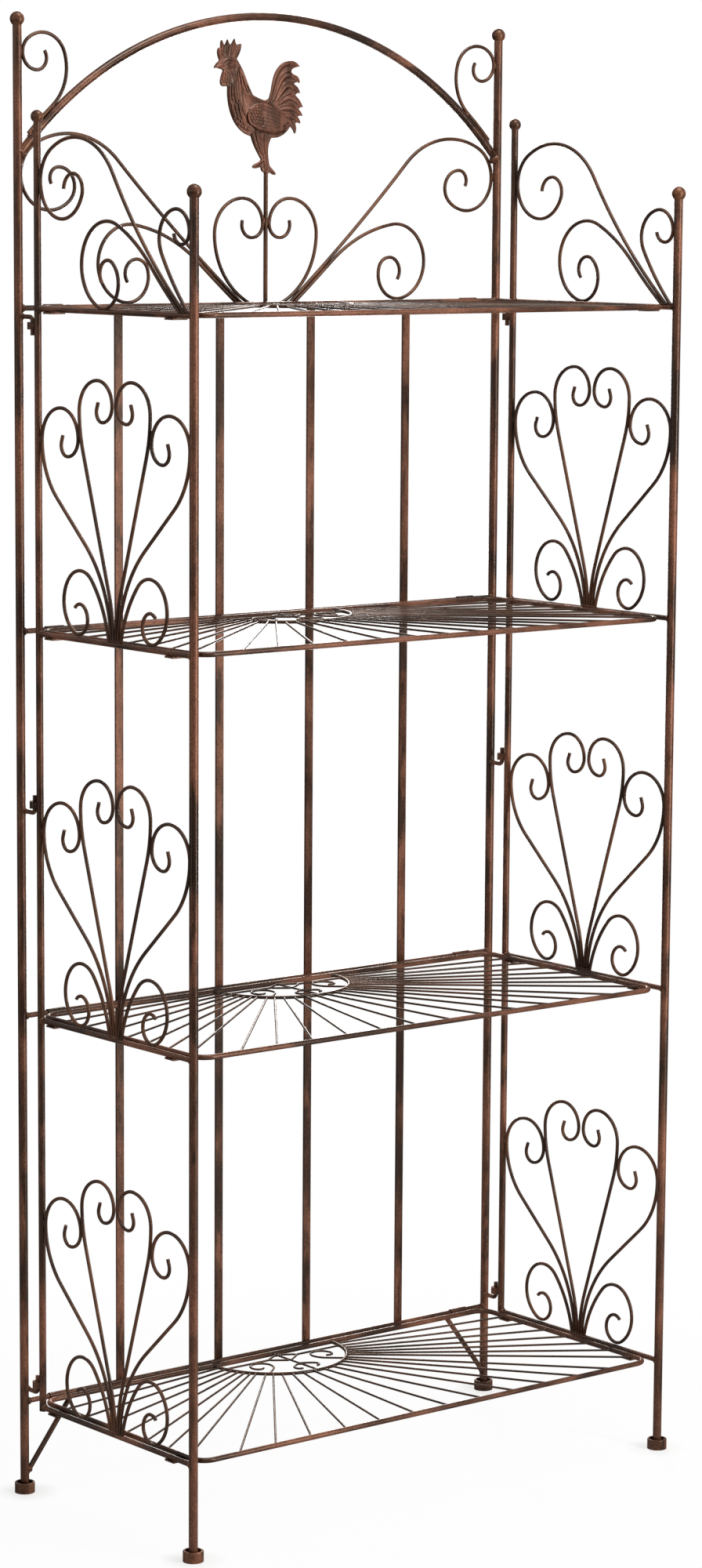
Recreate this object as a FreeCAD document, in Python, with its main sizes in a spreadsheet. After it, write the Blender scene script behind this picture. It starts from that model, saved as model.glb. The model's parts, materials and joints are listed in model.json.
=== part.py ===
"""Folding iron etagere for plants with a rooster crest, as a FreeCAD 1.1 macro in millimetres.

X runs to the right, Y to the back and Z up. The origin is on the floor, midway between the four feet.
The back panel carries the rails, bars, scrolls and crest. A side panel hangs on it at each edge by
three hinge pins, and four wire shelves lift about the rear rails.
"""
import FreeCAD
import Part

import math
import os

from FreeCAD import Placement, Rotation, Vector

SIZES = (
    ("back_width", 692, "between the axes of the back uprights"),
    ("side_inset", 2, "planes of the side panels, inside the back uprights' axes"),
    ("side_depth", 284, "rear to front upright of a side panel"),
    ("side_setback", 34, "back upright to a side panel's rear upright"),
    ("back_rise", 141.5, "top of a back upright, above the ends of the arch"),
    ("side_rear_rise", 202, "top of a side panel's rear upright, above its top rail"),
    ("side_front_rise", 122, "top of a side panel's front upright, above its top rail"),
    ("bottom_height", 107, "rails of the bottom shelf, above the floor"),
    ("bottom_bay_height", 447, "rails of the third shelf, above the bottom one"),
    ("lower_bay_height", 434, "rails of the second shelf, above the third"),
    ("upper_bay_height", 356, "rails of the top shelf, above the second"),
    ("upright_diameter", 10, "back and front uprights"),
    ("side_rear_diameter", 8, "rear upright of a side panel"),
    ("rail_diameter", 6, "rear and side rails, braces and shelf frames"),
    ("arch_diameter", 9, "tube of the arch"),
    ("arch_radius", 455, "arch, at its axis"),
    ("arch_gap", 1, "arch, above the shoulders of the upper back scrolls"),
    ("wire_diameter", 4, "scroll wires and half rings"),
    ("spoke_diameter", 2.5, "shelf spokes and filigree"),
    ("post_diameter", 5, "post under the rooster"),
    ("finial_diameter", 16, "balls on the back and front uprights"),
    ("small_finial_diameter", 14, "balls on the side panels' rear uprights"),
    ("finial_seat", 1.8, "depth of the flat under a ball"),
    ("foot_diameter", 23, "foot cap"),
    ("foot_height", 12, "foot cap"),
    ("foot_rim", 2.5, "wall round the dished top of the cap"),
    ("foot_dish", 4.5, "depth of the dished top"),
    ("foot_floor", 4, "cap under the end of the tube"),
    ("foot_round", 1, "rounding of the rim's outer edge"),
    ("rail_forward", 1.5, "rear rails in front of the back uprights' axes"),
    ("slat_width", 10, "flat bars behind the rails"),
    ("slat_thickness", 3, "flat bars behind the rails"),
    ("slat_inner_offset", 66, "inner flat bars, from the middle"),
    ("slat_outer_offset", 209, "outer flat bars, from the middle"),
    ("brace_foot", 20, "height of a brace at its upright"),
    ("brace_reach", 67, "brace, from the upright along the bottom rail"),
    ("pin_diameter", 5, "hinge pin rod"),
    ("pin_bend", 5, "hinge pin, radius of its bend"),
    ("pin_leg", 15, "hinge pin, straight leg past the bend"),
    ("pin_top_drop", 9, "arm of the top hinge pin, below the top rail"),
    ("pin_middle_rise", 233, "arm of the middle hinge pin, above the third rail"),
    ("pin_bottom_rise", 15, "arm of the bottom hinge pin, above the bottom rail"),
    ("eye_diameter", 12, "hinge eye"),
    ("eye_height", 8, "hinge eye"),
    ("eye_play", 0.06, "round a hinge pin in its eye"),
    ("eye_rest", 0.5, "hinge eye, past the bend of its pin"),
    ("lug_length", 16, "shelf lug, along its rail"),
    ("lug_width", 18.5, "shelf lug, across its rail"),
    ("lug_thickness", 2, "shelf lug"),
    ("lug_front", 40, "front lug's middle, behind the front upright"),
    ("lug_rear", 22, "rear lug's middle, before the rear upright"),
    ("shelf_inset", 13, "shelf frame, inside the side panels' planes"),
    ("shelf_rear_gap", 15, "rear rod of a shelf, before its rear rail"),
    ("shelf_front_gap", 4, "front rod of a shelf, behind the front uprights' axes"),
    ("shelf_corner", 18, "bend at the corners of a shelf frame"),
    ("shelf_lift", 0.3, "shelf rods above the lugs at rest"),
    ("clip_width", 24, "shelf clip, along the rear rail"),
    ("clip_from_upright", 45, "shelf clip's middle, from the back upright"),
    ("clip_strap", 1, "strap that a shelf clip is bent from"),
    ("clip_play", 0.06, "round the rear rail in a clip"),
    ("ring_radius", 88, "half ring of a shelf, at its axis"),
    ("front_spoke_margin", 53, "outermost front spoke, inside the side rod"),
    ("rear_spoke_margin", 41, "rearmost side spoke, before the rear rod"),
    ("corner_spoke_margin", 22.5, "foremost side spoke, behind the front rod"),
    ("weld_gap", 0.05, "left between a wire or bar and the bar that it is welded to"),
    ("bundle_gap", 0.2, "between wires that leave a rail side by side"),
    ("heart_share", 0.1546, "reach of the heart scroll, as a share of half the back's width"),
    ("heart_to_scroll", 13, "feet of the heart and of the upper back scroll"),
    ("corner_curl_radius", 54, "first bend of a corner scroll"),
    ("curl_room", 0.9, "foot of the side curl, behind its upright"),
    ("rooster_gap", 19.8, "rooster's comb, under the arch"),
    ("rooster_share", 0.511, "rooster's height, as a share of its comb's height above the top rail"),
    ("rooster_thickness", 3.5, "rooster casting without its wing"),
    ("wing_thickness", 2.5, "wing raised on the casting"),
)
FRONT_SPOKES = 12
SIDE_SPOKES = 7
LEVELS = (1, 2, 3, 4)
SIDES = (("left", -1), ("right", 1))
CORNER_TAIL_SWEEP = 5.5
ROOSTER_SOLE = -3.5

# A bent wire is a start heading in degrees and a chain of steps. A step (radius, turn) is an arc,
# to the left where the turn is positive, and a step (length, 0) is a straight run. The corner scroll
# is in radii of its first bend.
BACK_UPPER_SCROLL = (39.4, ((2160, 6.4), (94.8, -72.8), (39.2, -197), (21.3, -137), (12, -120)))
BACK_LOWER_SCROLL = (39.3, ((2160, 2), (180, -32), (44, -178), (29, -118), (16, -200)))
HEART_SCROLL = (22.5, ((86.6, 67.5), (40, 90), (29, 90), (15.5, 90), (14.5, 110)))
CORNER_SCROLL = ((1, -66), (0.574, -112), (0.352, -139), (0.241, -129))
SIDE_UPPER_SCROLL = (39.8, ((648, 17.4), (83.4, -90.5), (40.1, -214), (17.4, -200)))
SIDE_LOWER_SCROLL = (38.1, ((500, 8.3), (200, -21.3), (47, -185), (27.1, -162), (14.4, -170)))
SIDE_CURL = (44.9, ((313, 14.7), (31.3, 108), (23.2, 102), (13.6, 170)))
FAN_OUTER = (88, ((150, -46), (70, 0), (85, 48), (36, 90), (32.6, 90), (20, 90), (12, 110), (7, 0)))
FAN_INNER = (90, ((180, -17.5), (159, 0), (150, 17.5), (34, 90), (27.1, 90), (18, 90), (11, 110), (7, 0)))
FAN_SMALL = (80, ((137, -31.2), (28.6, -93.3), (38.1, -104.5), (17.3, -178), (11.7, -84)))

# Wires of the vine in a half ring, in radii of the ring: a place forward of the rear rod, or degrees
# round the ring for the curl, then the heading and the steps. The bar is straight.
VINE_ELBOW = (0.09, 29, ((0.2, 0), (0.045, 116), (0.2168, 0)))
VINE_BAR = 0.2263
VINE_HOOK = (0.6, 22, ((0.6, 16), (0.075, 140)))
VINE_CURL = (50, -140, ((0.227, 0), (0.25, 45), (0.15, 200), (0.075, 120)))

# The rooster faces left. Each stroke is a smooth curve in millimetres from the sole of the foot,
# and neighbouring strokes meet at a corner.
ROOSTER_STROKES = (
    ((-77, 115), (-73, 120.5), (-68.5, 124)),
    ((-68.5, 124), (-71.5, 132), (-71, 137), (-66.5, 139)),
    ((-66.5, 139), (-67, 143.5), (-65.5, 148)),
    ((-65.5, 148), (-63.5, 144), (-61.5, 141)),
    ((-61.5, 141), (-59, 144.5), (-57, 149)),
    ((-57, 149), (-55.5, 145), (-53, 141.5)),
    ((-53, 141.5), (-49.5, 145.5), (-46.5, 150.5)),
    ((-46.5, 150.5), (-46, 146), (-43.5, 142)),
    ((-43.5, 142), (-40, 143.5), (-37, 144)),
    ((-37, 144), (-38.5, 136), (-44, 126.5)),
    ((-44, 126.5), (-37, 117), (-27, 98), (-19.8, 85.4)),
    ((-19.8, 85.4), (-8.3, 81.1), (0, 80.3), (4.6, 82)),
    ((4.6, 82), (10.3, 99), (18.9, 115), (34.7, 126), (44.5, 124), (49.7, 119)),
    ((49.7, 119), (42, 118), (37, 115), (41, 110)),
    ((41, 110), (47.5, 107), (49.7, 100)),
    ((49.7, 100), (44, 101), (40.4, 99.4)),
    ((40.4, 99.4), (47, 95), (50.4, 88.2)),
    ((50.4, 88.2), (46, 88.5), (42.6, 86.5)),
    ((42.6, 86.5), (50, 80), (54.7, 71.8)),
    ((54.7, 71.8), (51, 72.2), (47.6, 70.5)),
    ((47.6, 70.5), (51.5, 67), (54, 61.9)),
    ((54, 61.9), (50, 62.5), (46.1, 61.5)),
    ((46.1, 61.5), (49.5, 58), (50.7, 52.9)),
    ((50.7, 52.9), (47, 54.5), (42.6, 54)),
    ((42.6, 54), (44.5, 48), (42.6, 41)),
    ((42.6, 41), (40, 46.5), (35.4, 50.2)),
    ((35.4, 50.2), (31.1, 44.8), (20.3, 38.1), (7.5, 36.4)),
    ((7.5, 36.4), (3.2, 26.8), (3.2, 13.3), (4.6, 5)),
    ((4.6, 5), (8.5, 1), (12.5, -2.6), (14.6, -5.4)),
    ((14.6, -5.4), (12.5, -6.5), (8, -5), (4, ROOSTER_SOLE)),
    ((4, ROOSTER_SOLE), (-4, ROOSTER_SOLE)),
    ((-4, ROOSTER_SOLE), (-6.6, -1), (-7.6, 2.4)),
    ((-7.6, 2.4), (-12.5, 1.4), (-17, 0.8), (-20.2, 2.6)),
    ((-20.2, 2.6), (-18, 5), (-12.5, 7.6), (-7, 11)),
    ((-7, 11), (-14, 21.2), (-19.1, 30.2), (-22, 38)),
    ((-22, 38), (-45.6, 52.7), (-56.3, 80.8), (-56.7, 95.5)),
    ((-56.7, 95.5), (-67, 97.5), (-66.5, 105), (-63, 113)),
    ((-63, 113), (-70, 114.8), (-77, 115)),
)
WING_STROKES = (
    ((30, 58), (5, 74), (-16, 76), (-28, 65), (-22, 50), (-4, 43), (18, 44)),
    ((18, 44), (24, 47), (22, 51)),
    ((22, 51), (29, 53), (30, 58)),
)

doc = FreeCAD.newDocument("plant_rack")
sheet = doc.addObject("Spreadsheet::Sheet", "Sizes")
for row, (alias, size, meaning) in enumerate(SIZES, 1):
    sheet.set(f"A{row}", alias)
    sheet.set(f"B{row}", str(size))
    sheet.setAlias(f"B{row}", alias)
    sheet.set(f"C{row}", meaning)
doc.recompute()

# Places that several pieces share, as expressions on the sheet
HEIGHTS = {4: "Sizes.bottom_height"}
for level, bay in ((3, "bottom_bay_height"), (2, "lower_bay_height"), (1, "upper_bay_height")):
    HEIGHTS[level] = f"{HEIGHTS[level + 1]} + Sizes.{bay}"
TOP_RAIL = f"({HEIGHTS[1]})"
BACK_Y = "(Sizes.side_setback + Sizes.side_depth) / 2"
REAR_Y = f"({BACK_Y} - Sizes.side_setback)"
FRONT_Y = f"(-{BACK_Y})"
RAIL_Y = f"({BACK_Y} - Sizes.rail_forward)"
PIN_Y = f"({REAR_Y} + Sizes.side_rear_diameter / 2 + Sizes.weld_gap + Sizes.eye_diameter / 2)"
RAIL_RADIUS = "Sizes.rail_diameter / 2"
SIDE_X = "(Sizes.back_width / 2 - Sizes.side_inset)"
SHELF_X = f"({SIDE_X} - Sizes.shelf_inset)"
SHELF_REAR_Y = f"({RAIL_Y} - Sizes.shelf_rear_gap)"
SHELF_FRONT_Y = f"({FRONT_Y} + Sizes.shelf_front_gap)"

ALONG_X = Rotation(Vector(0, 1, 0), 90)
ALONG_Y = Rotation(Vector(1, 0, 0), -90)
UPRIGHT = Rotation()
nodes = []


def value(expression):
    """Number that an expression on the sheet gives."""
    return float(sheet.evalExpression(expression))


def bind(obj, **expressions):
    """Ties an object's properties to the sheet."""
    for name, expression in expressions.items():
        obj.setExpression(name, expression)
    return obj


def place(obj, x, y, z, turn=UPRIGHT):
    """Turns an object and ties its place to the sheet."""
    obj.Placement = Placement(Vector(), turn)
    return bind(obj, **{"Placement.Base.x": x, "Placement.Base.y": y, "Placement.Base.z": z})


def rod(name, diameter, length, x, y, z, turn=UPRIGHT):
    """Round bar from a point, along Z before its turn."""
    obj = bind(doc.addObject("Part::Cylinder", name), Radius=f"({diameter}) / 2", Height=length)
    return place(obj, x, y, z, turn)


def block(name, length, width, height, x, y, z):
    """Box whose low corner is at a point."""
    obj = bind(doc.addObject("Part::Box", name), Length=length, Width=width, Height=height)
    return place(obj, x, y, z)


def cut(name, base, tool):
    """Base with the tool's shape taken out of it."""
    obj = doc.addObject("Part::Cut", name)
    obj.Base, obj.Tool = base, tool
    return obj


def fuse(name, members):
    """One solid from several."""
    obj = doc.addObject("Part::MultiFuse", name)
    obj.Shapes = members
    return obj


def group(name, members):
    """Several separate solids in one object."""
    obj = doc.addObject("Part::Compound", name)
    obj.Links = members
    return obj


def shaped(name, shape):
    """Object with a shape made by Part's own functions."""
    obj = doc.addObject("Part::Feature", name)
    obj.Shape = shape
    return obj


def node(obj):
    """Lists an object as a piece of the rack, under its own name."""
    obj.Label = obj.Name
    nodes.append(obj)
    return obj


def plane(origin, across, up):
    """Function from flat places to places in space."""
    return lambda point: origin + across * point[0] + up * point[1]


def chain(start, heading, steps, scale=1):
    """Points (from, middle, to) of each step of a bent wire."""
    spans = []
    point, angle = start, math.radians(heading)
    for length, turn in steps:
        length *= scale
        if turn == 0:
            far = (point[0] + length * math.cos(angle), point[1] + length * math.sin(angle))
            spans.append((point, None, far))
            point = far
            continue
        side = math.copysign(1, turn)
        sweep = math.radians(turn)
        centre = (point[0] - side * length * math.sin(angle), point[1] + side * length * math.cos(angle))
        stops = [angle + sweep * part for part in (0.5, 1)]
        middle, far = [(centre[0] + side * length * math.sin(stop),
                        centre[1] - side * length * math.cos(stop)) for stop in stops]
        spans.append((point, middle, far))
        point, angle = far, stops[1]
    return spans


def span_edges(spans, to_space):
    """Lines and arcs through the points of a chain."""
    edges = []
    for near, middle, far in spans:
        if middle is None:
            edges.append(Part.makeLine(to_space(near), to_space(far)))
        else:
            edges.append(Part.Arc(to_space(near), to_space(middle), to_space(far)).toShape())
    return edges


def axis_line(start, heading, steps, scale=1):
    """Line that a bent wire follows, laid flat."""
    flat = plane(Vector(), Vector(1, 0, 0), Vector(0, 1, 0))
    return Part.Wire(span_edges(chain(start, heading, steps, scale), flat))


def extent(heading, steps):
    """Least and greatest place across that a bent wire takes from its start."""
    box = axis_line((0, 0), heading, steps).BoundBox
    return box.XMin, box.XMax


def bent_wire(to_space, start, heading, steps, diameter, scale=1):
    """Round wire bent along a chain of steps in a plane."""
    path = Part.Wire(span_edges(chain(start, heading, steps, scale), to_space))
    angle = math.radians(heading)
    ahead = to_space((math.cos(angle), math.sin(angle))) - to_space((0, 0))
    section = Part.Wire(Part.Circle(to_space(start), ahead, diameter / 2).toShape())
    return path.makePipeShell([section], True, False)


def outline_face(strokes, to_space):
    """Flat face inside smooth strokes that meet at corners."""
    edges = []
    for stroke in strokes:
        curve = Part.BSplineCurve()
        curve.interpolate([to_space(point) for point in stroke])
        edges.append(curve.toShape())
    return Part.Face(Part.Wire(edges))


def finial(name, diameter, x, y, top):
    """Ball with a flat, on the top of an upright."""
    ball = bind(doc.addObject("Part::Sphere", name), Radius=f"{diameter} / 2",
                Angle1=f"-asin(1 - Sizes.finial_seat / ({diameter} / 2))")
    return place(ball, x, y, f"{top} + {diameter} / 2 - Sizes.finial_seat")


def foot(name, upright, x, y):
    """Cap with a dished top and a blind bore for the end of an upright."""
    disc = rod(f"{name}_disc", "Sizes.foot_diameter", "Sizes.foot_height", x, y, "0")
    doc.recompute()
    top = [number for number, edge in enumerate(disc.Shape.Edges, 1)
           if edge.BoundBox.ZMin > value("Sizes.foot_height") / 2]
    cap = doc.addObject("Part::Fillet", f"{name}_cap")
    cap.Base = disc
    cap.Edges = [(number, value("Sizes.foot_round"), value("Sizes.foot_round")) for number in top]
    dish = rod(f"{name}_dish", "Sizes.foot_diameter - 2 * Sizes.foot_rim", "Sizes.foot_dish", x, y,
               "Sizes.foot_height - Sizes.foot_dish")
    return cut(name, cut(f"{name}_cup", cap, dish), upright)


def upright_bar(name, diameter, top, bottom, x, y):
    """Upright from a height to another."""
    return rod(name, diameter, f"{top} - {bottom}", x, y, bottom)


# Back panel: the scrolls reach the uprights, the arch lies on their shoulders, and the uprights pass it
up = Vector(0, 0, 1)
wire = value("Sizes.wire_diameter")
weld_gap = value("Sizes.weld_gap")
bundle_gap = value("Sizes.bundle_gap")
bundle_pitch = wire + bundle_gap
top_rail = value(TOP_RAIL)
back_half = value("Sizes.back_width / 2")
back_y = value(BACK_Y)
scroll_y = value(f"{RAIL_Y} + {RAIL_RADIUS} + Sizes.weld_gap + Sizes.wire_diameter / 2")
upright_touch = value("Sizes.upright_diameter / 2 + Sizes.wire_diameter / 2 + Sizes.weld_gap")
scroll_wall = back_half - math.sqrt(upright_touch ** 2 - (scroll_y - back_y) ** 2)

heart_low, heart_high = extent(*HEART_SCROLL)
heart_scale = value("Sizes.heart_share") * back_half / heart_high
heart_start = value("(Sizes.post_diameter + Sizes.wire_diameter) / 2") + bundle_gap - heart_low * heart_scale
upper_start = heart_start + value("Sizes.heart_to_scroll")
lower_start = upper_start + bundle_pitch / math.sin(math.radians(BACK_LOWER_SCROLL[0]))
back_scale = (scroll_wall - upper_start) / extent(*BACK_UPPER_SCROLL)[1]

arch_radius = value("Sizes.arch_radius")
arch_room = arch_radius - value("(Sizes.arch_diameter + Sizes.wire_diameter) / 2 + Sizes.arch_gap")
shoulder = axis_line((upper_start, 0), *BACK_UPPER_SCROLL, back_scale).discretize(400)
arch_centre = top_rail + max(point.y - math.sqrt(arch_room ** 2 - point.x ** 2) for point in shoulder)
arch_end = arch_centre + math.sqrt(arch_radius ** 2 - back_half ** 2)
BACK_TOP = f"({arch_end} + Sizes.back_rise)"

tail_radius = arch_radius + value("(Sizes.arch_diameter + Sizes.wire_diameter) / 2 + Sizes.weld_gap")
curl_radius = value("Sizes.corner_curl_radius")
corner_steps = [(tail_radius, CORNER_TAIL_SWEEP)]
corner_steps += [(share * curl_radius, turn) for share, turn in CORNER_SCROLL]
tail_end = back_half - upright_touch
for nearing in range(20):
    tail_angle = math.degrees(math.asin(tail_end / tail_radius))
    tail_end = back_half - upright_touch - extent(180 - tail_angle, corner_steps)[1]
tail_start = (tail_end, math.sqrt(tail_radius ** 2 - tail_end ** 2))

# Back panel: uprights, finials, feet and arch
back_bars = {}
back_feet = []
back_balls = []
for side, sign in SIDES:
    edge_x = f"{sign} * Sizes.back_width / 2"
    bar = upright_bar(f"back_upright_{side}", "Sizes.upright_diameter", BACK_TOP, "Sizes.foot_floor",
                      edge_x, BACK_Y)
    back_bars[side] = node(bar)
    back_feet.append(foot(f"back_foot_{side}", bar, edge_x, BACK_Y))
    back_balls.append(finial(f"back_ball_{side}", "Sizes.finial_diameter", edge_x, BACK_Y, BACK_TOP))
node(group("back_feet", back_feet))
node(group("back_finials", back_balls))
back_pair = group("back_pair", list(back_bars.values()))

arch_half = math.degrees(math.asin(back_half / arch_radius))
arch_turn = Rotation(Vector(1, 0, 0), 90).multiply(Rotation(Vector(0, 0, 1), 90 - arch_half))
arch_tube = bind(doc.addObject("Part::Torus", "arch_tube"), Radius1="Sizes.arch_radius",
                 Radius2="Sizes.arch_diameter / 2",
                 Angle3="2 * asin(Sizes.back_width / 2 / Sizes.arch_radius)")
place(arch_tube, "0", BACK_Y, str(arch_centre), arch_turn)
node(cut("arch", arch_tube, back_pair))

# Back panel: rear rails, flat bars and braces
rear_rails = {}
for level in LEVELS:
    bar = rod(f"rear_bar_{level}", "Sizes.rail_diameter", "Sizes.back_width", "-Sizes.back_width / 2", RAIL_Y,
              HEIGHTS[level], ALONG_X)
    rear_rails[level] = node(cut(f"rear_rail_{level}", bar, back_pair))

slat_middles = [f"{sign} * Sizes.slat_{row}_offset" for row in ("inner", "outer") for side, sign in SIDES]
slats = []
for number, middle in enumerate(slat_middles):
    slats.append(block(f"slat_{number + 1}", "Sizes.slat_width", "Sizes.slat_thickness",
                       f"{TOP_RAIL} - Sizes.bottom_height + Sizes.rail_diameter",
                       f"{middle} - Sizes.slat_width / 2",
                       f"{RAIL_Y} + {RAIL_RADIUS} + Sizes.weld_gap", f"Sizes.bottom_height - {RAIL_RADIUS}"))
node(group("slats", slats))

brace_tools = group("brace_tools", [back_pair, rear_rails[4]])
brace_rise = "(Sizes.bottom_height - Sizes.brace_foot)"
braces = []
for side, sign in SIDES:
    slope = Rotation(Vector(0, 0, 1), Vector(-sign * value("Sizes.brace_reach"), 0, value(brace_rise)))
    bar = rod(f"brace_bar_{side}", "Sizes.rail_diameter",
              f"sqrt(Sizes.brace_reach * Sizes.brace_reach + {brace_rise} * {brace_rise})",
              f"{sign} * Sizes.back_width / 2", RAIL_Y, "Sizes.brace_foot", slope)
    braces.append(cut(f"brace_{side}", bar, brace_tools))
node(group("braces", braces))

# Back panel: scroll wires, post and rooster
heart_wires = []
corner_wires = []
for side, sign in SIDES:
    across = Vector(sign, 0, 0)
    flat = plane(Vector(0, scroll_y, top_rail), across, up)
    node(shaped(f"back_scrolls_{side}", Part.makeCompound([
        bent_wire(flat, (upper_start, 0), *BACK_UPPER_SCROLL, wire, back_scale),
        bent_wire(flat, (lower_start, 0), *BACK_LOWER_SCROLL, wire, back_scale)])))
    heart_wires.append(bent_wire(flat, (heart_start, 0), *HEART_SCROLL, wire, heart_scale))
    arch_plane = plane(Vector(0, back_y, arch_centre), across, up)
    corner_wires.append(bent_wire(arch_plane, tail_start, 180 - tail_angle, corner_steps, wire))
node(shaped("heart_scroll", Part.makeCompound(heart_wires)))
node(shaped("corner_scrolls", Part.makeCompound(corner_wires)))

outline_heights = [height for stroke in ROOSTER_STROKES for across, height in stroke]
comb_rise = arch_centre + value("Sizes.arch_radius - Sizes.arch_diameter / 2 - Sizes.rooster_gap") - top_rail
rooster_scale = value("Sizes.rooster_share") * comb_rise / (max(outline_heights) - min(outline_heights))
instep_rise = comb_rise - max(outline_heights) * rooster_scale
POST_Y = f"({RAIL_Y} + {RAIL_RADIUS} + Sizes.weld_gap + Sizes.post_diameter / 2)"
node(rod("rooster_post", "Sizes.post_diameter",
         f"{instep_rise + ROOSTER_SOLE * rooster_scale} - Sizes.weld_gap", "0", POST_Y, TOP_RAIL))

rooster_front = Vector(0, value(f"{POST_Y} - Sizes.rooster_thickness / 2"), top_rail + instep_rise)
rooster_plane = plane(rooster_front, Vector(rooster_scale, 0, 0), up * rooster_scale)
casting = outline_face(ROOSTER_STROKES, rooster_plane).extrude(Vector(0, value("Sizes.rooster_thickness"), 0))
wing = outline_face(WING_STROKES, rooster_plane).extrude(Vector(0, -value("Sizes.wing_thickness"), 0))
node(shaped("rooster", casting.fuse(wing).removeSplitter()))

# Hinge pins on the back uprights: name, way of the leg and height of the arm
PINS = (
    ("top", -1, f"{TOP_RAIL} - Sizes.pin_top_drop"),
    ("middle", 1, f"{HEIGHTS[3]} + Sizes.pin_middle_rise"),
    ("bottom", 1, f"{HEIGHTS[4]} + Sizes.pin_bottom_rise"),
)
pin_arm = value(f"{BACK_Y} - {PIN_Y} - Sizes.pin_bend")
pin_steps = ((pin_arm, 0), (value("Sizes.pin_bend"), 90), (value("Sizes.pin_leg"), 0))
for side, sign in SIDES:
    pins = []
    for name, leg, height in PINS:
        root = Vector(sign * value(SIDE_X), back_y, value(height))
        flat = plane(root, Vector(0, -1, 0), up * leg)
        pin = bent_wire(flat, (0, 0), 0, pin_steps, value("Sizes.pin_diameter"))
        pins.append(pin.cut(back_bars[side].Shape))
    node(shaped(f"hinge_pins_{side}", Part.makeCompound(pins)))

# Side panels
REAR_TOP = f"({TOP_RAIL} + Sizes.side_rear_rise)"
FRONT_TOP = f"({TOP_RAIL} + Sizes.side_front_rise)"
fan_wall = value("Sizes.side_depth / 2") - upright_touch
fan_starts = [bundle_pitch * place_in_bundle for place_in_bundle in (0.5, 1.5, 2.5)]
fan_scale = (fan_wall - fan_starts[1]) / extent(*FAN_OUTER)[1]
side_curl_start = upright_touch + value("Sizes.curl_room")
side_upper_start = side_curl_start + bundle_pitch / math.sin(math.radians(SIDE_UPPER_SCROLL[0]))
side_lower_start = side_upper_start + bundle_pitch / math.sin(math.radians(SIDE_LOWER_SCROLL[0]))
rear_touch = value("Sizes.side_rear_diameter / 2 + Sizes.wire_diameter / 2 + Sizes.weld_gap")
side_scale = (value("Sizes.side_depth") - rear_touch - side_upper_start) / extent(*SIDE_UPPER_SCROLL)[1]

for side, sign in SIDES:
    side_x = f"{sign} * {SIDE_X}"
    rear = node(upright_bar(f"rear_upright_{side}", "Sizes.side_rear_diameter", REAR_TOP,
                            "(Sizes.bottom_height - Sizes.side_rear_diameter / 2)", side_x, REAR_Y))
    front = node(upright_bar(f"front_upright_{side}", "Sizes.upright_diameter", FRONT_TOP,
                             "Sizes.foot_floor", side_x, FRONT_Y))
    node(foot(f"front_foot_{side}", front, side_x, FRONT_Y))
    node(group(f"side_finials_{side}", [
        finial(f"rear_ball_{side}", "Sizes.small_finial_diameter", side_x, REAR_Y, REAR_TOP),
        finial(f"front_ball_{side}", "Sizes.finial_diameter", side_x, FRONT_Y, FRONT_TOP)]))

    pair = group(f"side_pair_{side}", [rear, front])
    rails = {}
    lugs = []
    for level in LEVELS:
        height = HEIGHTS[level]
        bar = rod(f"side_bar_{side}_{level}", "Sizes.rail_diameter", "Sizes.side_depth",
                  side_x, FRONT_Y, height, ALONG_Y)
        rails[level] = cut(f"side_rail_{side}_{level}", bar, pair)
        outer_x = f"{side_x} + {sign} * {RAIL_RADIUS}"
        low_x = outer_x if sign < 0 else f"{outer_x} - Sizes.lug_width"
        for spot, middle in (("front", f"{FRONT_Y} + Sizes.lug_front"),
                             ("rear", f"{REAR_Y} - Sizes.lug_rear")):
            lugs.append(block(f"lug_{spot}_{side}_{level}", "Sizes.lug_width", "Sizes.lug_length",
                              "Sizes.lug_thickness", low_x, f"{middle} - Sizes.lug_length / 2",
                              f"{height} - {RAIL_RADIUS} - Sizes.weld_gap - Sizes.lug_thickness"))
    node(group(f"side_rails_{side}", list(rails.values())))
    node(group(f"shelf_lugs_{side}", lugs))

    eyes = []
    for name, leg, height in PINS:
        base = f"{height} + {leg} * (Sizes.pin_bend + Sizes.eye_rest)"
        if leg < 0:
            base = f"{base} - Sizes.eye_height"
        ring = rod(f"eye_ring_{name}_{side}", "Sizes.eye_diameter", "Sizes.eye_height", side_x, PIN_Y, base)
        bore = rod(f"eye_bore_{name}_{side}", "Sizes.pin_diameter + 2 * Sizes.eye_play", "Sizes.eye_height",
                   side_x, PIN_Y, base)
        eyes.append(cut(f"hinge_eye_{name}_{side}", ring, bore))
    node(group(f"hinge_eyes_{side}", eyes))
    doc.recompute()

    panel_x = value(side_x)
    for level in LEVELS[1:]:
        middle = Vector(panel_x, value(f"({REAR_Y} + {FRONT_Y}) / 2"), value(HEIGHTS[level]))
        fan = []
        for way in (1, -1):
            flat = plane(middle, Vector(0, way, 0), up)
            for start, curve in zip(fan_starts, (FAN_INNER, FAN_OUTER, FAN_SMALL)):
                fan.append(bent_wire(flat, (start, 0), *curve, wire, fan_scale).cut(rails[level].Shape))
        node(shaped(f"fan_{side}_{level}", Part.makeCompound(fan)))

    flat = plane(Vector(panel_x, value(FRONT_Y), top_rail), Vector(0, 1, 0), up)
    scrolls = [bent_wire(flat, (start, 0), *curve, wire, side_scale).cut(rails[1].Shape)
               for start, curve in ((side_curl_start, SIDE_CURL), (side_upper_start, SIDE_UPPER_SCROLL),
                                    (side_lower_start, SIDE_LOWER_SCROLL))]
    node(shaped(f"top_scrolls_{side}", Part.makeCompound(scrolls)))

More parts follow.
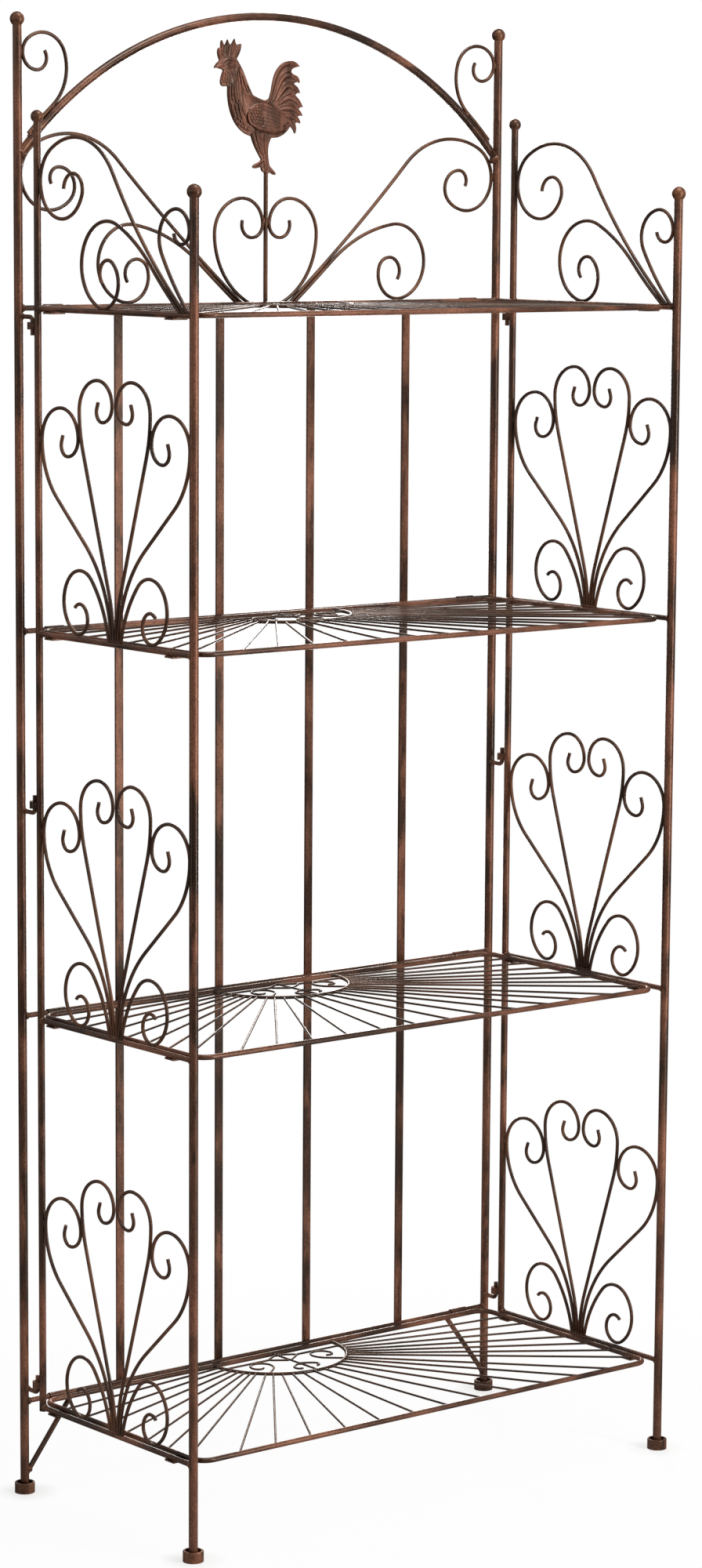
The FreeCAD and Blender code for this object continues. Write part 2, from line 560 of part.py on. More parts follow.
# Shelves: a bent frame, a half ring with a vine in it, spokes between them and two clips
shelf_x = value(SHELF_X)
shelf_rear = value(SHELF_REAR_Y)
shelf_depth = shelf_rear - value(SHELF_FRONT_Y)
corner = value("Sizes.shelf_corner")
ring_radius = value("Sizes.ring_radius")
spoke = value("Sizes.spoke_diameter")
shelf_plane = plane(Vector(0, shelf_rear, 0), Vector(1, 0, 0), Vector(0, -1, 0))

long_run = (2 * (shelf_x - corner), 0)
short_run = (shelf_depth - 2 * corner, 0)
bend = (corner, 90)
frame_shape = bent_wire(shelf_plane, (corner - shelf_x, 0), 0,
                        (long_run, bend, short_run, bend, long_run, bend, short_run, bend),
                        value("Sizes.rail_diameter"))
ring_shape = bent_wire(shelf_plane, (ring_radius, 0), 90, ((ring_radius, 180),), wire).cut(frame_shape)

front_margin = value("Sizes.front_spoke_margin")
rear_margin = value("Sizes.rear_spoke_margin")
front_pitch = 2 * (shelf_x - front_margin) / (FRONT_SPOKES - 1)
side_pitch = (shelf_depth - rear_margin - value("Sizes.corner_spoke_margin")) / (SIDE_SPOKES - 1)
front_places = [front_margin - shelf_x + number * front_pitch for number in range(FRONT_SPOKES)]
side_places = [rear_margin + number * side_pitch for number in range(SIDE_SPOKES)]
spoke_ends = [(way * shelf_x, forward) for way in (-1, 1) for forward in side_places]
spoke_ends += [(across, shelf_depth) for across in front_places]
spokes = []
for across, forward in spoke_ends:
    distance = math.hypot(across, forward)
    heading = math.degrees(math.atan2(forward, across))
    inner = ring_radius + wire / 2 + weld_gap
    start = (across * inner / distance, forward * inner / distance)
    straight = bent_wire(shelf_plane, start, heading, ((distance - inner, 0),), spoke)
    spokes.append(straight.cut(frame_shape))

curl_place, curl_heading, curl_steps = VINE_CURL
curl_lean = math.sin(math.radians(curl_place + 180 - curl_heading))
curl_foot = ring_radius - wire / 2 - weld_gap - spoke / 2 * abs(curl_lean)
curl_start = [curl_foot * turned(math.radians(curl_place)) for turned in (math.cos, math.sin)]
elbow_foot = spoke / 2 * (1 + math.sin(math.radians(VINE_ELBOW[1]))) + weld_gap
elbow_tip = elbow_foot + extent(*VINE_ELBOW[1:])[1] * ring_radius
bar_start = (elbow_tip + spoke / 2 + weld_gap, VINE_BAR * ring_radius)
bar_length = math.sqrt(ring_radius ** 2 - bar_start[1] ** 2) - bar_start[0]

vine = [bent_wire(shelf_plane, (0, 0), 90, ((ring_radius, 0),), spoke)]
for way in (1, -1):
    flat = plane(Vector(0, shelf_rear, 0), Vector(way, 0, 0), Vector(0, -1, 0))
    for forward, heading, steps in (VINE_ELBOW, VINE_HOOK):
        beside_stem = spoke / 2 * (1 + math.sin(math.radians(heading))) + weld_gap
        vine.append(bent_wire(flat, (beside_stem, forward * ring_radius), heading, steps, spoke, ring_radius))
    vine.append(bent_wire(flat, bar_start, 0, ((bar_length, 0),), spoke))
    vine.append(bent_wire(flat, curl_start, curl_heading, curl_steps, spoke, ring_radius))
rosette = [ring_shape] + [stem.cut(ring_shape).cut(frame_shape) for stem in vine]

for level in LEVELS:
    lifted = Placement(Vector(0, 0, value(f"{HEIGHTS[level]} + Sizes.shelf_lift")), Rotation())
    for name, shape in (("frame", frame_shape), ("spokes", Part.makeCompound(spokes)),
                        ("rosette", Part.makeCompound(rosette))):
        obj = node(shaped(f"shelf_{name}_{level}", shape))
        obj.Placement = lifted
    clips = []
    for side, sign in SIDES:
        low_x = f"{sign} * (Sizes.back_width / 2 - Sizes.clip_from_upright) - Sizes.clip_width / 2"
        height = HEIGHTS[level]
        bore_diameter = "Sizes.rail_diameter + 2 * Sizes.clip_play"
        tag = f"{side}_{level}"
        roll = rod(f"clip_roll_{tag}", f"{bore_diameter} + 2 * Sizes.clip_strap", "Sizes.clip_width",
                   low_x, RAIL_Y, height, ALONG_X)
        tongue = block(f"clip_tongue_{tag}", "Sizes.clip_width", "Sizes.shelf_rear_gap",
                       "2 * Sizes.clip_strap", low_x, SHELF_REAR_Y, f"{height} - Sizes.clip_strap")
        bore = rod(f"clip_bore_{tag}", bore_diameter, "Sizes.clip_width", low_x, RAIL_Y, height, ALONG_X)
        strap = cut(f"clip_strap_{tag}", fuse(f"clip_blank_{tag}", [roll, tongue]), bore)
        clips.append(cut(f"clip_{tag}", strap, doc.getObject(f"shelf_frame_{level}")))
    node(group(f"shelf_clips_{level}", clips))

doc.recompute()
failed = [obj.Name for obj in doc.Objects if "Invalid" in obj.State or "Error" in obj.State]
failed += [obj.Name for obj in nodes if obj.Shape.isNull() or not obj.Shape.isValid() or not obj.Shape.Solids]
if failed:
    raise RuntimeError("these objects did not come out: " + ", ".join(failed))

os.makedirs("parts", exist_ok=True)
for obj in nodes:
    obj.Shape.exportStep(f"parts/{obj.Label}.step")
print(len(nodes), "pieces,", sum(len(obj.Shape.Solids) for obj in nodes), "solids")
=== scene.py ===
import json
import math

import bpy
from mathutils import Matrix, Vector

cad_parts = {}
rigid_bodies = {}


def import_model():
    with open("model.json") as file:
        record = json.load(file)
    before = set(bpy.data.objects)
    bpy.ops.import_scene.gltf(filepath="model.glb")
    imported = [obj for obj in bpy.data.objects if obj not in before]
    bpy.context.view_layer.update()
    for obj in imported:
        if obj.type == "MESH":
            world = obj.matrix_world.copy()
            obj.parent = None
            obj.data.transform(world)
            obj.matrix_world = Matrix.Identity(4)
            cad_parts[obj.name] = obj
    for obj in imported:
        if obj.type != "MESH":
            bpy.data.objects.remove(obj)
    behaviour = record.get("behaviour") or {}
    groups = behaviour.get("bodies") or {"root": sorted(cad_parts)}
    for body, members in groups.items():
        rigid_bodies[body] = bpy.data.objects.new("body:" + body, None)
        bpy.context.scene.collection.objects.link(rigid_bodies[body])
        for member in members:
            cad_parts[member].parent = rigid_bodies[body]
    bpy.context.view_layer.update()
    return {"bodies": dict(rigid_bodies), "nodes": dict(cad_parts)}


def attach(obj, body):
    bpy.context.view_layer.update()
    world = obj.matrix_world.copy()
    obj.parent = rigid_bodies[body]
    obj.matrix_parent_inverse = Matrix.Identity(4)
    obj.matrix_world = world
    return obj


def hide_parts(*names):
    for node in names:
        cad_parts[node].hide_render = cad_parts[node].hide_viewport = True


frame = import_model()
nodes = frame["nodes"]

# The photograph's view: a long lens, a little above the top shelf and to the left of the rack,
# tipped slightly down. Its angles are in degrees.
camera_place = (-3.0416, -3.75, 1.4814)
turned, tipped, rolled = -39.04, -8.67, 0.363
camera = bpy.data.objects.new("camera", bpy.data.cameras.new("camera"))
bpy.context.scene.collection.objects.link(camera)
camera.data.sensor_width = 36
camera.data.lens = 98.42
camera.data.shift_y = 0.0339
camera.matrix_world = (Matrix.Translation(camera_place)
                       @ Matrix.Rotation(math.radians(turned), 4, "Z")
                       @ Matrix.Rotation(math.radians(90 + tipped), 4, "X")
                       @ Matrix.Rotation(math.radians(rolled), 4, "Z"))
bpy.context.scene.camera = camera
bpy.context.scene.view_settings.view_transform = "Standard"

# Uprights, rails, flat bars, arch and feet: mild steel tube and bar, cut, bent and welded, then sprayed
# with a dark bronze paint and rubbed by hand, so that rust brown shows through in long patches.


def linear(hex_colour):
    """Linear colour from an sRGB hex value."""
    parts = [int(hex_colour[at:at + 2], 16) / 255 for at in (0, 2, 4)]
    return [part / 12.92 if part <= 0.04045 else ((part + 0.055) / 1.055) ** 2.4 for part in parts] + [1]


def add(tree, kind, settings, links):
    """Node of a kind, with its settings, and its inputs set to values or linked to other nodes' outputs."""
    made = tree.nodes.new(kind)
    for name, setting in settings.items():
        setattr(made, name, setting)
    for socket, source in links.items():
        if isinstance(source, bpy.types.NodeSocket):
            tree.links.new(source, made.inputs[socket])
        else:
            made.inputs[socket].default_value = source
    return made


def per_metre(millimetres):
    """Noise scale that gives patches of a width."""
    return 1000 / millimetres


def along_bars(share, upright):
    """Mapping scale that draws a pattern out along upright bars, or along level ones."""
    return (1, 1, share) if upright else (share, share, 1)


def rubbed_paint(name, dark, middle, rust, patch, grit, grain, scorched, upright=True):
    """Bronze paint rubbed by hand: brown in soft clouds, rust where it is rubbed thin, ragged black where
    it was scorched, and a fine grit of dried spray that breaks up the shine. The rag was drawn along the
    bars, upright or level, and the patches are drawn out with it. Patch and grit are in millimetres. Real
    grit is finer, and it is drawn as coarse as it needs to show."""
    black, warm_shine = linear("1c0f09"), linear("ffe4cf")
    rag_draw, scorch_draw, scorch_patch = 0.4, 0.2, 22
    material = bpy.data.materials.new(name)
    material.use_nodes = True
    tree = material.node_tree
    tree.nodes.clear()
    place = add(tree, "ShaderNodeTexCoord", {}, {}).outputs["Object"]

    # Brown and rust in clouds
    drawn_out = add(tree, "ShaderNodeMapping", {}, {"Vector": place, "Scale": along_bars(rag_draw, upright)})
    clouds = add(tree, "ShaderNodeTexNoise", {},
                 {"Vector": drawn_out.outputs["Vector"], "Scale": per_metre(patch),
                  "Detail": 4, "Roughness": 0.55})
    paint = add(tree, "ShaderNodeValToRGB", {}, {"Fac": clouds.outputs["Fac"]})
    stops = paint.color_ramp.elements
    stops[0].position, stops[0].color = 0.38, linear(dark)
    stops[1].position, stops[1].color = 0.62, linear(rust)
    stops.new(0.49).color = linear(middle)

    # Grit, as lighter and darker specks
    speckle = add(tree, "ShaderNodeTexNoise", {},
                  {"Vector": place, "Scale": per_metre(grit), "Detail": 3, "Roughness": 0.7})
    dust = add(tree, "ShaderNodeMapRange", {},
               {"Value": speckle.outputs["Fac"], "From Min": 0.38, "From Max": 0.62,
                "To Min": 1 - grain, "To Max": 1 + grain})
    brown = add(tree, "ShaderNodeVectorMath", {"operation": "SCALE"},
                {"Vector": paint.outputs["Color"], "Scale": dust.outputs["Result"]})

    # Scorched black, with edges that the grit makes ragged
    streaked = add(tree, "ShaderNodeMapping", {},
                   {"Vector": place, "Scale": along_bars(scorch_draw, upright)})
    scorch = add(tree, "ShaderNodeTexNoise", {},
                 {"Vector": streaked.outputs["Vector"], "Scale": per_metre(scorch_patch),
                  "Detail": 6, "Roughness": 0.6})
    ragged = add(tree, "ShaderNodeMath", {"operation": "MULTIPLY_ADD"},
                 {0: speckle.outputs["Fac"], 1: 0.3, 2: scorch.outputs["Fac"]})
    burnt = add(tree, "ShaderNodeMapRange", {"interpolation_type": "SMOOTHSTEP"},
                {"Value": ragged.outputs[0], "From Min": 0.66, "From Max": 0.74,
                 "To Min": 0, "To Max": scorched})
    colour = add(tree, "ShaderNodeMix", {"data_type": "RGBA"},
                 {"Factor": burnt.outputs["Result"], "A": brown.outputs["Vector"], "B": black})

    # Shine, which is rougher on the rust and dies away towards the edges of a bar
    shine = add(tree, "ShaderNodeMapRange", {},
                {"Value": clouds.outputs["Fac"], "From Min": 0.35, "From Max": 0.65,
                 "To Min": 0.2, "To Max": 0.33})
    bumps = add(tree, "ShaderNodeBump", {},
                {"Height": speckle.outputs["Fac"], "Strength": 0.4, "Distance": 0.0005})
    facing = add(tree, "ShaderNodeLayerWeight", {}, {"Blend": 0.5, "Normal": bumps.outputs["Normal"]})
    gloss = add(tree, "ShaderNodeMapRange", {},
                {"Value": facing.outputs["Facing"], "From Min": 0.2, "From Max": 0.6,
                 "To Min": 0.42, "To Max": 0.02})
    paint_shader = add(tree, "ShaderNodeBsdfPrincipled", {},
                       {"Base Color": colour.outputs[2], "Metallic": 0.15,
                        "Specular IOR Level": gloss.outputs["Result"], "Specular Tint": warm_shine,
                        "Roughness": shine.outputs["Result"], "Normal": bumps.outputs["Normal"]})
    add(tree, "ShaderNodeOutputMaterial", {}, {"Surface": paint_shader.outputs["BSDF"]})
    return material


def coat(material, *names):
    """Gives CAD nodes a finish."""
    for name in names:
        nodes[name].data.materials.clear()
        nodes[name].data.materials.append(material)


bar_paint = {"dark": "311c13", "middle": "583728", "rust": "7a4e3b", "patch": 45, "grit": 2, "grain": 0.4}
tube_paint = rubbed_paint("bronze_paint_on_tube", **bar_paint, scorched=0.9)
rail_paint = rubbed_paint("bronze_paint_on_rails", **bar_paint, scorched=0.8, upright=False)
sides = ("left", "right")
levels = (1, 2, 3, 4)
coat(tube_paint, "braces", "slats", "back_feet")
coat(rail_paint, "arch", *[f"rear_rail_{level}" for level in levels])
for side in sides:
    coat(tube_paint, f"back_upright_{side}", f"rear_upright_{side}", f"front_upright_{side}",
         f"front_foot_{side}", f"hinge_pins_{side}", f"hinge_eyes_{side}")
    coat(rail_paint, f"side_rails_{side}", f"shelf_lugs_{side}")
for level in levels:
    coat(rail_paint, f"shelf_frame_{level}", f"shelf_clips_{level}")

# Scrolls, fans and the post: drawn steel wire, bent cold round a jig and welded by their feet.
# Paint stays thicker on thin wire than on tube, so it is darker and more even.
wire_paint = rubbed_paint("bronze_paint_on_wire", dark="2b160d", middle="432719", rust="5e3b27",
                          patch=45, grit=1.6, grain=0.2, scorched=0.4)
coat(wire_paint, "heart_scroll", "corner_scrolls", "rooster_post")
for side in sides:
    coat(wire_paint, f"back_scrolls_{side}", f"top_scrolls_{side}",
         *[f"fan_{side}_{level}" for level in levels[1:]])

# Spokes and half rings of the shelves: thinner wire, laid flat and welded in the frame. The rag hardly gets
# between them, so the paint stays dark.
spoke_paint = rubbed_paint("bronze_paint_on_spokes", dark="1e1009", middle="301b11", rust="462a1b",
                           patch=45, grit=1.6, grain=0.2, scorched=0.5, upright=False)
for level in levels:
    coat(spoke_paint, f"shelf_spokes_{level}", f"shelf_rosette_{level}")

# Ball finials: cast iron balls with a flat, welded on the open ends of the uprights. The skin of a casting
# is pitted, so rust and brown change about every centimetre.
cast_paint = rubbed_paint("bronze_paint_on_cast_iron", dark="3e2216", middle="5c3825", rust="774a30",
                          patch=14, grit=1.4, grain=0.25, scorched=0.5)
coat(cast_paint, "back_finials", "side_finials_left", "side_finials_right")

# Rooster: one iron casting from an open sand mould, flat behind and in relief in front, with its plumage
# cut into the pattern. Bronze paint, with a dark wash wiped off the raised feathers. Its colour also holds
# painted shade in the grooves and a painted highlight on the raised feathers.
instep = Vector((0, 0, 1.49677))
plate_front, wing_front = 0.1613, 0.1588
drawn_size = 0.975
skin_grain = 0.00055
casting = nodes["rooster"].copy()
casting.data = nodes["rooster"].data.copy()
casting.name = "rooster_casting"
bpy.context.scene.collection.objects.link(casting)
casting.parent = None


def select_only(*objects):
    """Selects some objects and makes the last one active."""
    bpy.ops.object.select_all(action="DESELECT")
    for chosen in objects:
        chosen.select_set(True)
    bpy.context.view_layer.objects.active = objects[-1]


def melt(soft_steps):
    """Casts all the forms of the rooster into one skin and rounds its edges."""
    select_only(casting)
    skin = casting.modifiers.new("skin", "REMESH")
    skin.mode = "VOXEL"
    skin.voxel_size = skin_grain
    bpy.ops.object.modifier_apply(modifier="skin")
    soft = casting.modifiers.new("soft", "SMOOTH")
    soft.iterations = soft_steps
    bpy.ops.object.modifier_apply(modifier="soft")


select_only(casting)
bpy.ops.object.mode_set(mode="EDIT")
bpy.ops.mesh.select_all(action="SELECT")
bpy.ops.mesh.remove_doubles(threshold=1e-6)
bpy.ops.mesh.normals_make_consistent(inside=False)
bpy.ops.object.mode_set(mode="OBJECT")
melt(6)

# Groups of feathers and forms: how flat they are, the face that they lie on, and for each one its width
# and the places that it passes, in millimetres from the instep across and up.
on_plate, on_thigh, on_swell = plate_front - 0.0004, plate_front - 0.001, plate_front - 0.0012
PLUMAGE = (
    # The swell of body, neck, head, thigh and rump
    (0.14, plate_front, (
        (40, (-42, 84), (-16, 62), (14, 56)),
        (26, (-50, 108), (-42, 84), (-28, 62)),
        (18, (-68, 118), (-57, 121), (-46, 119)),
        (18, (-15, 42), (-9, 28), (-4, 14)),
        (24, (6, 62), (24, 62), (38, 60)))),
    # Tail: long sickle feathers, with short ones between
    (0.55, on_plate, (
        (5.6, (4, 78), (9, 104), (20, 120), (34, 124), (47, 119)),
        (3.4, (8, 79), (13, 100), (24, 113), (37, 115)),
        (5, (10, 80), (17, 99), (27, 109), (37, 109), (47, 101)),
        (3.4, (13, 80), (20, 95), (29, 101), (38, 100)),
        (5, (14, 79), (23, 93), (33, 98), (40, 94), (48, 88.5)),
        (3.2, (16, 77), (26, 88), (37, 89)),
        (5, (17, 75), (28, 83), (38, 83), (45, 78), (52, 72)),
        (3.2, (18, 72), (29, 77), (40, 75)),
        (5, (18, 69), (30, 72), (41, 70), (51, 62.5)),
        (3.2, (19, 66), (30, 67), (40, 64)),
        (4.6, (19, 63), (30, 63), (40, 61), (48.5, 54)),
        (4.4, (20, 58), (29, 58), (36, 54), (41, 43)))),
    # Neck: two rows of hackles
    (0.4, on_swell, (
        (3.6, (-54.5, 95), (-55.5, 85), (-54, 74)),
        (3.8, (-51.5, 98), (-52, 86), (-49.5, 70)),
        (3.8, (-48, 102), (-48, 88), (-45, 72)),
        (3.8, (-45.5, 108), (-44.5, 91), (-40.5, 73)),
        (3.8, (-43.5, 113), (-41, 96), (-36.5, 77)),
        (3.8, (-42, 117), (-37.5, 101), (-32, 80)),
        (3.6, (-40, 118), (-34.5, 103), (-27.5, 85)),
        (3.4, (-38, 116), (-31.5, 102), (-24.5, 87)),
        (3.6, (-53, 78), (-51.5, 68), (-47.5, 59)),
        (3.6, (-47.5, 75), (-45.5, 66), (-41, 57)),
        (3.6, (-42.5, 76), (-40.5, 66), (-36, 55)),
        (3.6, (-38, 79), (-36, 69), (-31.5, 60)),
        (3.2, (-33, 82), (-31, 75), (-27.5, 70)))),
    # Comb, brow, cheek, beak, wattles, toes and shank
    (0.6, on_plate, (
        (3.6, (-68.5, 127), (-69.5, 131), (-69, 135)),
        (3.4, (-65.6, 130), (-65.8, 139), (-65.6, 145)),
        (3.4, (-59.5, 131), (-58.5, 140), (-57.2, 146.5)),
        (4, (-53, 131), (-50, 140), (-47, 148)),
        (4, (-47, 129), (-43, 137), (-38.5, 142)),
        (4.6, (-66, 121), (-58, 129), (-46, 124)),
        (3.8, (-63, 116), (-55, 114), (-48, 100)),
        (5, (-63, 119), (-69, 118.5), (-75.5, 115.6)),
        (3.2, (-62, 110), (-65, 103), (-63.5, 98.5)),
        (3, (-59, 109), (-60.5, 102), (-59.8, 97.5)),
        (3, (-55, 107), (-54.5, 101), (-56, 97)),
        (4.4, (-5, 11), (-13, 6.5), (-22, 2.6)),
        (4.4, (1, 4), (7, -1), (13, -5.4)),
        (4.6, (-4, 18), (-3, 8), (-2, -3)))),
    # Thigh and belly
    (0.6, on_thigh, (
        (3.4, (-23, 41), (-18, 28), (-10, 15)),
        (3.6, (-18, 45), (-13, 32), (-7, 16)),
        (3.6, (-11, 43), (-8, 30), (-4.5, 15)),
        (3.2, (-4, 40), (-3, 28), (-2, 15)),
        (3, (0, 43), (12, 40), (27, 46)),
        (3, (10, 46.5), (20, 45.5), (32, 51)))),
    # Wing: its rim below and above, then five flights
    (0.55, wing_front, (
        (3.6, (-28.5, 66), (-30, 56), (-18, 49), (-4, 45.5), (14, 44.5)),
        (3, (-27, 69), (-18, 73.5), (-5, 70.5), (10, 67), (27, 60)),
        (3.6, (-6, 65.5), (8, 63.5), (26, 57.5)),
        (3.6, (-4, 61.5), (8, 59.6), (25, 54)),
        (3.6, (-4, 57.5), (8, 55.8), (23.5, 51)),
        (3.6, (-5, 53.5), (6, 52), (21, 48.5)),
        (3.6, (-8, 50), (3, 48.3), (17.5, 46)))),
)

# Small round scales on the breast and on the wing's shoulder: the face that they lie on, their width and
# their spots
SCALES = (
    (on_swell, 4.5, (
        (-43, 58.5), (-38.6, 55.5), (-34.5, 52.5), (-46.5, 55), (-42, 52), (-37.5, 49.5), (-33, 47.5),
        (-28.5, 46))),
    (wing_front - 0.0001, 4.95, (
        (-21, 68.5), (-16.5, 69), (-12, 67.5), (-25, 65), (-20.5, 65), (-16, 65), (-11.5, 64), (-26, 61),
        (-22, 61.3), (-17.7, 61.3), (-13.3, 61), (-9, 60), (-24, 57.5), (-19.8, 57.6), (-15.5, 57.6),
        (-11.2, 57), (-8, 56.5), (-20.5, 54), (-16.4, 54), (-12.3, 53.5), (-9, 53), (-15, 51))),
)


def lay_plumes(flatness, face, plumes):
    """Tapered ridges along smooth lines, flattened on a face of the casting."""
    half_millimetre, root_share, tip_share = 0.0005, 0.3, 0.15
    line = bpy.data.curves.new("plumes", "CURVE")
    line.dimensions = "3D"
    line.bevel_depth = half_millimetre
    line.bevel_resolution = 3
    line.use_fill_caps = True
    for width, *places in plumes:
        spline = line.splines.new("NURBS")
        spline.points.add(len(places) - 1)
        for point, (across, up) in zip(spline.points, places):
            point.co = (across / 1000, 0, up / 1000, 1)
            point.radius = width
        spline.points[0].radius = width * root_share
        spline.points[len(places) - 1].radius = width * tip_share
        spline.order_u = 3
        spline.use_endpoint_u = True
    made = bpy.data.objects.new("plumes", line)
    bpy.context.scene.collection.objects.link(made)
    select_only(made)
    made.scale = (drawn_size, flatness, drawn_size)
    made.location = instep + Vector((0, face, 0))
    bpy.ops.object.convert(target="MESH")
    bpy.ops.object.transform_apply(location=True, rotation=True, scale=True)
    return made


forms = [lay_plumes(*group) for group in PLUMAGE]
scale_flatness, scale_lean, scale_reach = 0.85, 0.5, 1.6
for face, width, spots in SCALES:
    forms.append(lay_plumes(scale_flatness, face, [
        (width, (across - scale_lean, up + scale_reach), (across, up),
         (across + scale_lean, up - scale_reach))
        for across, up in spots]))
eye_place, eye_radius, lid_radius = (-0.0542, plate_front - 0.0014, 0.1175), 0.0021, 0.0007
bpy.ops.mesh.primitive_torus_add(major_radius=eye_radius, minor_radius=lid_radius,
                                 major_segments=20, minor_segments=8,
                                 location=instep + Vector(eye_place), rotation=(math.pi / 2, 0, 0))
forms.append(bpy.context.object)

select_only(*forms, casting)
bpy.ops.object.join()
bpy.ops.object.transform_apply(location=True, rotation=True, scale=True)
melt(2)
bpy.ops.object.shade_smooth()

# Crumbs of skin round hollows inside the casting are taken out: only what hangs together with the tail stays
bpy.ops.object.mode_set(mode="EDIT")
bpy.ops.mesh.select_all(action="DESELECT")
bpy.ops.object.mode_set(mode="OBJECT")
max(casting.data.vertices, key=lambda vertex: vertex.co.x).select = True
bpy.ops.object.mode_set(mode="EDIT")
bpy.ops.mesh.select_linked()
bpy.ops.mesh.select_all(action="INVERT")
bpy.ops.mesh.delete(type="VERT")
bpy.ops.object.mode_set(mode="OBJECT")

# Wash and painted shade: the dirt map is darkest in the grooves between the feathers and lightest on the
# raised ones
bpy.ops.geometry.color_attribute_add(name="wash_and_cavity_shade", domain="POINT", data_type="BYTE_COLOR", color=(1, 1, 1, 1))
bpy.ops.object.mode_set(mode="VERTEX_PAINT")
bpy.ops.paint.vertex_color_dirt(blur_strength=0.6, blur_iterations=2, clean_angle=math.radians(120),
                                dirt_angle=math.radians(60), normalize=False)
bpy.ops.object.mode_set(mode="OBJECT")

rooster_paint = rubbed_paint("wiped_bronze_and_painted_shade_on_cast_iron", dark="442619", middle="5c3628", rust="704434",
                             patch=11, grit=1.2, grain=0.25, scorched=0.3)
# Colour from the dirt map: a dark wash with painted shade in the grooves, and wiped wear with a painted
# highlight on the raised feathers, where the colour is lifted above the paint's own.
groove, slope, ridge = [(grey, grey, grey, 1) for grey in (0.1, 0.48, 0.85)]
wash_and_highlight_lift = 2
tree = rooster_paint.node_tree
shader = next(made for made in tree.nodes if made.type == "BSDF_PRINCIPLED")
wash_and_cavity_shade = add(tree, "ShaderNodeVertexColor", {"layer_name": "wash_and_cavity_shade"}, {})
depth = add(tree, "ShaderNodeValToRGB", {}, {"Fac": wash_and_cavity_shade.outputs["Color"]})
stops = depth.color_ramp.elements
stops[0].position, stops[0].color = 0.015, groove
stops[1].position, stops[1].color = 0.2, ridge
stops.new(0.06).color = slope
washed_and_shaded = add(tree, "ShaderNodeVectorMath", {"operation": "MULTIPLY"},
            {0: shader.inputs["Base Color"].links[0].from_socket, 1: depth.outputs["Color"]})
lifted = add(tree, "ShaderNodeVectorMath", {"operation": "SCALE"},
             {0: washed_and_shaded.outputs["Vector"], "Scale": wash_and_highlight_lift})
tree.links.new(lifted.outputs["Vector"], shader.inputs["Base Color"])
casting.data.materials.clear()
casting.data.materials.append(rooster_paint)
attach(casting, "back_panel")
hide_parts("rooster")

# Welds: short runs of filler where a bar or wire meets the next one, lumpy as they cooled, and painted over.
# A collar runs round the end of a bar that butts on another, and a bead lies in the corner of a wire.
bpy.ops.object.select_all(action="DESELECT")
bpy.ops.mesh.primitive_circle_add(vertices=12, radius=1.62, fill_type="NGON", location=(0, 0, -0.8))
collar = bpy.context.object
bpy.ops.object.mode_set(mode="EDIT")
for rise, shrink in ((0.7, 0.97), (0.4, 0.88), (0.35, 0.83), (0.25, 0.8)):
    bpy.ops.mesh.extrude_region_move(TRANSFORM_OT_translate={"value": (0, 0, rise)})
    bpy.ops.transform.resize(value=(shrink, shrink, 1))
bpy.ops.mesh.select_all(action="SELECT")
bpy.ops.mesh.normals_make_consistent(inside=False)
bpy.ops.transform.vertex_random(offset=0.09, normal=0.5, seed=3)
bpy.ops.object.mode_set(mode="OBJECT")
bpy.ops.object.transform_apply(location=True, rotation=True, scale=True)
bpy.ops.object.shade_smooth()

bpy.ops.object.select_all(action="DESELECT")
bpy.ops.mesh.primitive_uv_sphere_add(segments=8, ring_count=6, radius=1)
bead = bpy.context.object
bpy.ops.object.mode_set(mode="EDIT")
bpy.ops.mesh.select_all(action="SELECT")
bpy.ops.transform.vertex_random(offset=0.2, normal=0.6, seed=8)
bpy.ops.object.mode_set(mode="OBJECT")
bpy.ops.object.shade_smooth()


def box_middle(name):
    """Middle of a CAD node's box along X, Y and Z, to a tenth of a millimetre."""
    return [round(500 * (min(along) + max(along)), 1) for along in zip(*nodes[name].bound_box)]


def box_half(name):
    """Half the size of a CAD node's box along X, Y and Z, to a tenth of a millimetre."""
    return [round(500 * (max(along) - min(along)), 1) for along in zip(*nodes[name].bound_box)]


# Heights of the rails, axes of the uprights and rear rails, and radii of the bars, in millimetres. Collars
# are sunk a little in the bar that they lie on.
heights = {level: box_middle(f"rear_rail_{level}")[2] for level in levels}
back_x, back_y = box_middle("back_upright_right")[:2]
panel_x, rear_y = box_middle("rear_upright_right")[:2]
front_y = box_middle("front_upright_right")[1]
rail_y = box_middle("rear_rail_1")[1]
upright_radius = box_half("back_upright_right")[0]
rear_radius = box_half("rear_upright_right")[0]
rail_radius = box_half("rear_rail_1")[2]
sunk = 0.2
runs = {body: [] for body in frame["bodies"]}


def weld(body, shape, spot, size, along=(0, 0, 1)):
    """Lays a run of filler on a spot in millimetres, with its own Z along a bar, and turns each one
    differently."""
    run = shape.copy()
    run.data = shape.data.copy()
    bpy.context.scene.collection.objects.link(run)
    turn = 2.4 * len(runs[body])
    run.data.transform(Matrix.Translation(Vector(spot) / 1000)
                       @ Vector(along).to_track_quat("Z", "Y").to_matrix().to_4x4()
                       @ Matrix.Rotation(turn, 4, "Z")
                       @ Matrix.Diagonal((*[part / 1000 for part in size], 1)))
    runs[body].append(run)


